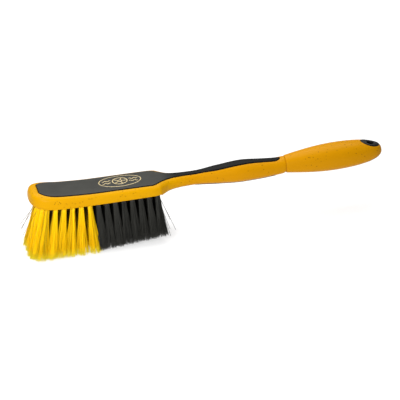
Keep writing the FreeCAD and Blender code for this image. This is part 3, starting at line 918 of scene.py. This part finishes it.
def bead(path, width, closed):
    """Grid of a flattened bead: half the width times cos(t) across, its half height times
    sin(t) up, along the path. An open bead narrows at its ends."""
    if closed:
        ahead = np.roll(path, -1, 0) - np.roll(path, 1, 0)
    else:
        ahead = np.gradient(path, axis=0)
    ahead /= np.linalg.norm(ahead, axis=1, keepdims=True)
    aside = np.stack([-ahead[:, 1], ahead[:, 0]], -1)
    t = np.linspace(0, 2 * np.pi, 8, endpoint=False)
    taper = np.ones(len(path))
    if not closed:
        taper = np.sqrt(np.clip(1 - np.linspace(-1, 1, len(path)) ** 8, 0.02, 1))
    plan = path[:, None] + aside[:, None] * (np.cos(t)[:, None] * width / 2) * taper[:, None, None]
    surface = height_at(body_section, plan[..., 0], plan[..., 1]) + BADGE_RISE
    return np.dstack([plan, surface + BEAD_HALF_HEIGHT * np.sin(t) * taper[:, None]])


print("the badge's middle is", BADGE[0], "mm from the toe")

# %% [markdown]
# ## The picture on the badge
# The oval, the tyre and the hub are closed loops. The spokes and the waves are open lines: a wave
# is a sine with two full turns.

# %% Badge
OVAL, TYRE, HUB = (27.2, 16.0), 9.4, 2.6
SPOKES, SPOKE_FROM, SPOKE_TO = 5, 3.2, 8.4
WAVE_START, WAVE_LENGTH, WAVE_HEIGHT, WAVE_ROW = 11.6, 11.5, 1.3, 3.4
RING_WIDTH, WHEEL_WIDTH, FINE_WIDTH = 1.1, 1.3, 1.2


def badge_paths():
    """(path, width, closed) for each stroke, in millimetres from the badge's centre."""
    t = np.linspace(0, 2 * np.pi, 96, endpoint=False)
    circle = np.stack([np.cos(t), np.sin(t)], -1)
    yield circle * OVAL, RING_WIDTH, True
    yield circle * TYRE, WHEEL_WIDTH, True
    yield circle[::4] * HUB, FINE_WIDTH, True
    for spoke in np.arange(SPOKES) * 2 * np.pi / SPOKES:
        reach = np.linspace(SPOKE_FROM, SPOKE_TO, 6)[:, None]
        yield reach * (math.cos(spoke), math.sin(spoke)), WHEEL_WIDTH, False
    x = np.linspace(WAVE_START, WAVE_START + WAVE_LENGTH, 36)
    wave = WAVE_HEIGHT * np.sin((x - WAVE_START) * 4 * np.pi / WAVE_LENGTH)
    for side in (-1, 1):
        for y in (-WAVE_ROW, WAVE_ROW):
            yield np.stack([side * x, y + wave], -1), FINE_WIDTH, False


points, quads, caps, total = [], [], [], 0
for path, width, closed in badge_paths():
    grid = bead(path + BADGE, width, closed)
    rows, columns, _ = grid.shape
    points.append(grid.reshape(-1, 3))
    quads.append(total + quads_of(rows, columns, wrap_rows=closed, wrap_columns=True))
    if not closed:
        end = np.arange(columns)
        caps += [total + end[::-1], total + (rows - 1) * columns + end]
    total += rows * columns
faces = [np.concatenate(quads), np.stack(caps)]
badge = mesh_object("panel_badge", np.concatenate(points), faces)
print("badge strokes make", total, "points")

# %% [markdown]
# ## Finishes
# Small helpers keep each finish short. Patterns read Object coordinates in metres, so a scale of
# 1000 is one cell per millimetre.


# %% Node helpers
def finish(name, colour, roughness, **sockets):
    """A new material with its Principled shader's fixed values set on its own sockets."""
    material = bpy.data.materials.new(name)
    material.use_nodes = True
    shader = material.node_tree.nodes["Principled BSDF"]
    shader.inputs["Base Color"].default_value = (*colour, 1)
    shader.inputs["Roughness"].default_value = roughness
    for socket, value in sockets.items():
        shader.inputs[socket.replace("_", " ")].default_value = value
    return material, material.node_tree, shader


def add(tree, kind, **values):
    """A node with its inputs or its settings given by name."""
    made = tree.nodes.new(kind)
    for name, value in values.items():
        if name in made.inputs:
            made.inputs[name].default_value = value
        else:
            setattr(made, name, value)
    return made


def join(tree, source, target):
    tree.links.new(source, target)


def mixed(tree, factor, first, second):
    """A colour mix; each side is a colour or a socket."""
    mix = add(tree, "ShaderNodeMix", data_type="RGBA")
    for number, value in ((0, factor), (6, first), (7, second)):
        socket = mix.inputs[number]
        if isinstance(value, bpy.types.NodeSocket):
            join(tree, value, socket)
        elif isinstance(value, (int, float)):
            socket.default_value = value
        else:
            socket.default_value = (*value, 1)
    return mix.outputs[2]


def ranged(tree, source, low, high, to_low=0.0, to_high=1.0):
    """A number carried from one range to another in a straight line, and held at its ends."""
    remap = add(tree, "ShaderNodeMapRange", clamp=True)
    join(tree, source, remap.inputs["Value"])
    for number, value in enumerate((low, high, to_low, to_high), 1):
        remap.inputs[number].default_value = value
    return remap.outputs["Result"]


def product(tree, first, second):
    times = add(tree, "ShaderNodeMath", operation="MULTIPLY")
    join(tree, first, times.inputs[0])
    join(tree, second, times.inputs[1])
    return times.outputs[0]


def bumped(tree, shader, height, strength, distance):
    """Fine relief: a pattern read as a height, too small to be worth geometry."""
    bump = add(tree, "ShaderNodeBump", Strength=strength, Distance=distance)
    join(tree, height, bump.inputs["Height"])
    join(tree, bump.outputs["Normal"], shader.inputs["Normal"])


def object_place(tree):
    return add(tree, "ShaderNodeTexCoord").outputs["Object"]


def parts(tree, source):
    """The separate numbers of a place or a map."""
    split = add(tree, "ShaderNodeSeparateXYZ")
    join(tree, source, split.inputs[0])
    return split.outputs


def cells(tree, scale):
    """Voronoi cells over the object."""
    texture = add(tree, "ShaderNodeTexVoronoi", Scale=scale)
    join(tree, object_place(tree), texture.inputs["Vector"])
    return texture.outputs


def noise(tree, scale, detail):
    """Noise over the object."""
    texture = add(tree, "ShaderNodeTexNoise", Scale=scale, Detail=detail)
    join(tree, object_place(tree), texture.inputs["Vector"])
    return texture.outputs["Fac"]


print("one cell at scale 1000 is 1 mm")

# %% [markdown]
# ## Speckled yellow plastic
# A strong yellow, slightly uneven, with a satin grain and tiny brown specks of foreign pellets. A
# point is a speck when it is close to its Voronoi cell's centre, the cell's own number is high
# and a broad noise gathers them there. From the throat towards the handle, the yellow is a little
# deeper.

# %% Yellow plastic
YELLOW, DEEP_YELLOW = (0.50, 0.245, 0.0002), (0.44, 0.200, 0.0002)
HANDLE_YELLOW, SPECK = (0.48, 0.208, 0.0002), (0.05, 0.022, 0.002)
HANDLE_BLEND = (-0.045, -0.015)  # metres along the brush


def speckled_plastic():
    name = "speckled_yellow_plastic"
    material, tree, shader = finish(name, YELLOW, 0.45, Specular_IOR_Level=0.04)
    cloud, along = noise(tree, 28.0, 3.0), parts(tree, object_place(tree))["X"]
    patchy = mixed(tree, ranged(tree, cloud, 0.45, 0.75, 0.0, 0.35), YELLOW, DEEP_YELLOW)
    base = mixed(tree, ranged(tree, along, *HANDLE_BLEND), patchy, HANDLE_YELLOW)
    pellets = cells(tree, 310.0)
    near = ranged(tree, pellets["Distance"], 0.10, 0.22, 1.0, 0.0)
    chosen = ranged(tree, pellets["Color"], 0.50, 0.53)
    gathered = ranged(tree, noise(tree, 42.0, 1.0), 0.40, 0.52)
    speck = product(tree, product(tree, near, chosen), gathered)
    join(tree, mixed(tree, speck, base, SPECK), shader.inputs["Base Color"])
    bumped(tree, shader, noise(tree, 1400.0, 2.0), 0.12, 0.0002)
    join(tree, ranged(tree, cloud, 0.3, 0.7, 0.33, 0.42), shader.inputs["Roughness"])
    return material


plastic = speckled_plastic()
print(plastic.name, "has", len(plastic.node_tree.nodes), "nodes")

# %% [markdown]
# ## Soft grey rubber
# Soft-touch rubber has a broad, pale sheen over a fine matte pebble. The map of the distance to
# the edge darkens a thin line, painted shade in the groove. Along the neck it is painted nearly
# black, painted shade where the sloping rubber catches less sheen.

# %% Soft rubber
RUBBER = (0.036, 0.036, 0.032)
# the span along the neck where the rubber is painted darker, and how dark: painted shade where the
# neck catches less sheen
NECK_SHADE_RANGE = (-0.055, -0.035)  # metres along the brush
WORN, NECK_SHADE, GROOVE_SHADE = 1.25, 0.18, 0.12


def dimmed(colour, share):
    return tuple(value * share for value in colour)


def soft_rubber(name, colour):
    material, tree, shader = finish(name, colour, 0.55, Specular_IOR_Level=0.06)
    cloud, along = noise(tree, 60.0, 4.0), parts(tree, object_place(tree))["X"]
    dry = mixed(tree, ranged(tree, cloud, 0.35, 0.7), colour, dimmed(colour, WORN))
    # painted shade: the sloping neck's rubber is darkened where it catches less sheen
    face = mixed(tree, ranged(tree, along, *NECK_SHADE_RANGE), dry, dimmed(colour, NECK_SHADE))
    inland = parts(tree, add(tree, "ShaderNodeUVMap", uv_map="inland").outputs["UV"])["X"]
    # painted shade: a thin dark line along the panel's edge, for the shadow in the groove
    edge = ranged(tree, inland, 0.35, 1.0, 1.0, 0.0)
    shown = mixed(tree, edge, face, dimmed(colour, GROOVE_SHADE))
    join(tree, shown, shader.inputs["Base Color"])
    bumped(tree, shader, cells(tree, 2600.0)["Distance"], 0.25, 0.0001)
    join(tree, ranged(tree, cloud, 0.3, 0.7, 0.48, 0.6), shader.inputs["Roughness"])
    return material


rubber = soft_rubber("soft_grey_rubber", RUBBER)
print(rubber.name, "has", len(rubber.node_tree.nodes), "nodes")

# %% [markdown]
# ## Eyelet, print and staples
# The eyelet's hard plastic and the staples' steel wire have a fine grain that varies their
# roughness, and the printed badge is worn through in places.


# %% Small finishes
def grained(name, colour, detail, low, high, **sockets):
    """One colour whose roughness follows a fine noise."""
    material, tree, shader = finish(name, colour, 0.35, **sockets)
    grain = noise(tree, 900.0, detail)
    join(tree, ranged(tree, grain, 0.3, 0.7, low, high), shader.inputs["Roughness"])
    return material, tree, shader, grain


def print_ink(fresh, thin):
    material, tree, shader = finish("badge_ink", fresh, 0.4)
    worn = ranged(tree, noise(tree, 700.0, 3.0), 0.52, 0.72, 0.0, 0.5)
    join(tree, mixed(tree, worn, fresh, thin), shader.inputs["Base Color"])
    return material


eyelet_black, tree, shader, grain = grained(
    "black_eyelet_plastic", (0.006, 0.006, 0.006), 3.0, 0.3, 0.45, Specular_IOR_Level=0.2
)
bumped(tree, shader, grain, 0.15, 0.0002)
steel = grained("staple_steel", (0.55, 0.55, 0.56), 2.0, 0.25, 0.45, Metallic=1.0)[0]
ink = print_ink((0.50, 0.39, 0.19), (0.30, 0.23, 0.12))
print("made", eyelet_black.name, ink.name, steel.name)

# %% [markdown]
# ## Filament
# The strand map carries a shade and the place from root to tip. Filament is painted nearly black
# deep in the brush, as painted shade; some strands are darkened, and the yellow ones turn lemon at
# the flagged tips.


# %% Filament
def filament(name, root, middle, tip, spread, roughness):
    """Colour by place along the strand from a root colour that is painted shade, then darkened by
    the strand's shade, and the tip last.
    """
    material, tree, shader = finish(name, middle, roughness, Specular_IOR_Level=0.1)
    strand = parts(tree, add(tree, "ShaderNodeUVMap", uv_map="strand").outputs["UV"])
    shade, along = strand["X"], strand["Y"]
    # painted shade: the root colour darkens strands deep in the brush; the strays take it too, for
    # their dull look
    low = mixed(tree, ranged(tree, along, 0.0, ROOT_SHADE_LEVEL), root, middle)
    streak = ranged(tree, shade, 0.5, 0.15, 0.0, 0.8)
    streaked = mixed(tree, streak, low, dimmed(middle, 1 - spread))
    shown = mixed(tree, ranged(tree, along, 0.89, 1.0), streaked, tip)
    join(tree, shown, shader.inputs["Base Color"])
    return material


yellow_strand = filament(
    "yellow_filament", (0.03, 0.013, 0.0003), (0.96, 0.60, 0.0004), (0.92, 0.78, 0.03), 0.6, 0.45
)
black_strand = filament(
    "black_filament", (0.006, 0.006, 0.005), (0.032, 0.032, 0.028), (0.045, 0.045, 0.04), 0.6, 0.4
)
print("made", yellow_strand.name, black_strand.name)

# %% [markdown]
# ## Putting the finishes on
# Each piece gets its finish, rides on the brush's one body, and hides the measured nodes it
# stands for. The staples already have the right shape, so they stay and only get the steel.


# %% Putting the finishes on
def dress(piece, material, nodes):
    """Gives a piece its finish and its body, and hides the measured nodes it stands for."""
    piece.data.materials.clear()
    piece.data.materials.append(material)
    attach(piece, "root")
    if nodes:
        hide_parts(*nodes)


dress(head, plastic, ["head_and_neck"])
dress(grip, plastic, ["rear_grip"])
dress(panel, rubber, ["top_soft_panel"])
dress(strip, rubber, ["neck_under_strip"])
dress(eyelet, eyelet_black, ["hang_eyelet"])
dress(badge, ink, [])
for piece, node, slot in tuft_pieces:
    dress(piece, yellow_strand if slot == "yellow_filament" else black_strand, [node])
dress(toe_strays, yellow_strand, [])
dress(heel_strays, black_strand, [])
staples = [node for name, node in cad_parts.items() if name.startswith("anchor_staples")]
for node in staples:
    node.data.materials.clear()
    node.data.materials.append(steel)
print(len(tuft_pieces) + 8, "new pieces dressed;", len(staples), "measured nodes given steel")

# %% [markdown]
# ## The studio
# The floor is pale and glows a little, as a lit white table does, so that it stays white round
# the brush. It lies half a millimetre under the tips.

# %% Floor
REACH, FLOOR = 4.0, -0.0005
floor_mesh = bpy.data.meshes.new("studio_floor")
signs = ((-1, -1), (1, -1), (1, 1), (-1, 1))
corners = [(REACH * x, REACH * y, FLOOR) for x, y in signs]
floor_mesh.from_pydata(corners, [], [(0, 1, 2, 3)])
studio_floor = bpy.data.objects.new("studio_floor", floor_mesh)
bpy.context.scene.collection.objects.link(studio_floor)
pale_floor, _, floor_shader = finish("pale_floor", (0.36,) * 3, 0.8, Emission_Strength=0.62)
floor_shader.inputs["Emission Color"].default_value = (1, 1, 1, 1)
floor_mesh.materials.append(pale_floor)
studio_floor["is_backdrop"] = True
print("the floor is", 2 * REACH, "m wide")

# %% [markdown]
# ## Lights
# Two large soft lights and an even surround: one low in front, which brightens the side of the
# head and falls off along the handle, and one wide and high behind.


# %% Lights
def softbox(name, place, target, size, power):
    """A round area light at `place`, turned towards `target`: metres and watts."""
    light = bpy.data.lights.new(name, "AREA")
    light.shape, light.size, light.energy = "DISK", size, power
    lamp = bpy.data.objects.new(name, light)
    lamp.location = place
    lamp.rotation_euler = (Vector(target) - Vector(place)).to_track_quat("-Z", "Y").to_euler()
    bpy.context.scene.collection.objects.link(lamp)


softbox("front_softbox", (-0.42, -0.65, 0.40), (-0.14, 0, 0.03), 0.4, 7.0)
softbox("overhead_softbox", (-0.05, 0.45, 1.2), (0, 0, 0.05), 1.4, 22)

world = bpy.data.worlds.new("studio_surround")
world.use_nodes = True
surround = world.node_tree.nodes["Background"]
surround.inputs["Color"].default_value = (1, 1, 1, 1)
surround.inputs["Strength"].default_value = 0.34
bpy.context.scene.world = world
bpy.context.scene.view_settings.view_transform = "Standard"
print(len(bpy.data.lights), "lights")

# %% [markdown]
# ## The sizes
# The finished pieces' box is printed beside the measured model's.

# %% Size and finish
visual_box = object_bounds()
for label, (low, high) in (("cad", cad_box), ("visual", visual_box)):
    print(label, [round(v * 1000, 1) for v in (*low, *high)])
